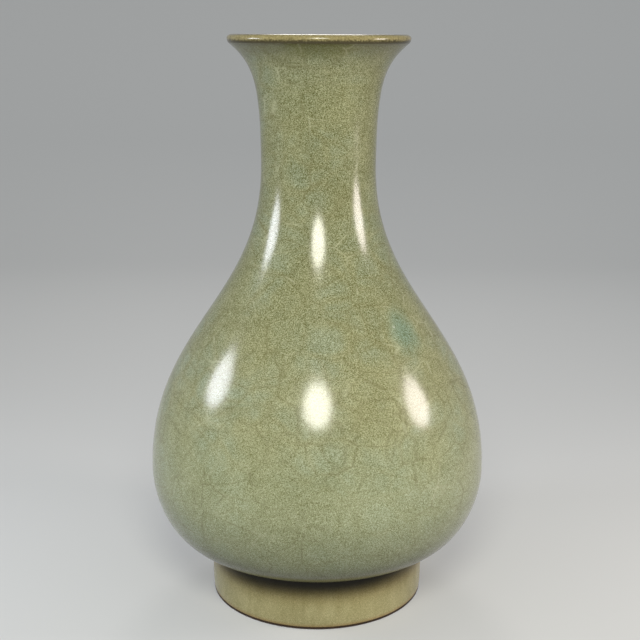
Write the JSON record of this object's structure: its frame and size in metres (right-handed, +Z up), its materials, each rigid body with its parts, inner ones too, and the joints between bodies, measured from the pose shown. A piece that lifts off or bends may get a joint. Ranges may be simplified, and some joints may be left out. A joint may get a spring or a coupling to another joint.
{
  "type": "yuhuchunping vase",
  "caption": "Pear-shaped bottle vase with a slender neck, a flared rolled mouth, a low full belly and an upright foot ring, in crackled grey-green glaze.",
  "frame": {"origin": "centre of the foot ring's underside, on the vase's axis, at the level of the table", "axes": "+Z up along the axis of revolution; the vase is round, and -Y is the side that the picture shows"},
  "size_m": [0.18, 0.18, 0.3],
  "materials": {
    "fired_clay": "bare fired stoneware, matt, brown where it meets the air",
    "fired_slip": "fired slip, matt",
    "crackle_glaze": "grey-green glaze with fine crackle, soft gloss",
    "brown_glaze": "thin golden-brown glaze, glossy",
    "iron_wash": "dark brown iron wash, matt"
  },
  "bodies": {
    "root": {"foot_ring": "fired_clay", "slip_seam_foot": "fired_slip", "lower_body": "fired_clay", "slip_seam_belly": "fired_slip", "upper_body": "fired_clay", "slip_seam_neck": "fired_slip", "neck": "fired_clay", "foot_edge_wash": "iron_wash", "outer_glaze": "crackle_glaze", "lip_band": "brown_glaze", "inner_glaze": "crackle_glaze", "base_glaze": "crackle_glaze"}
  },
  "joints": []
}
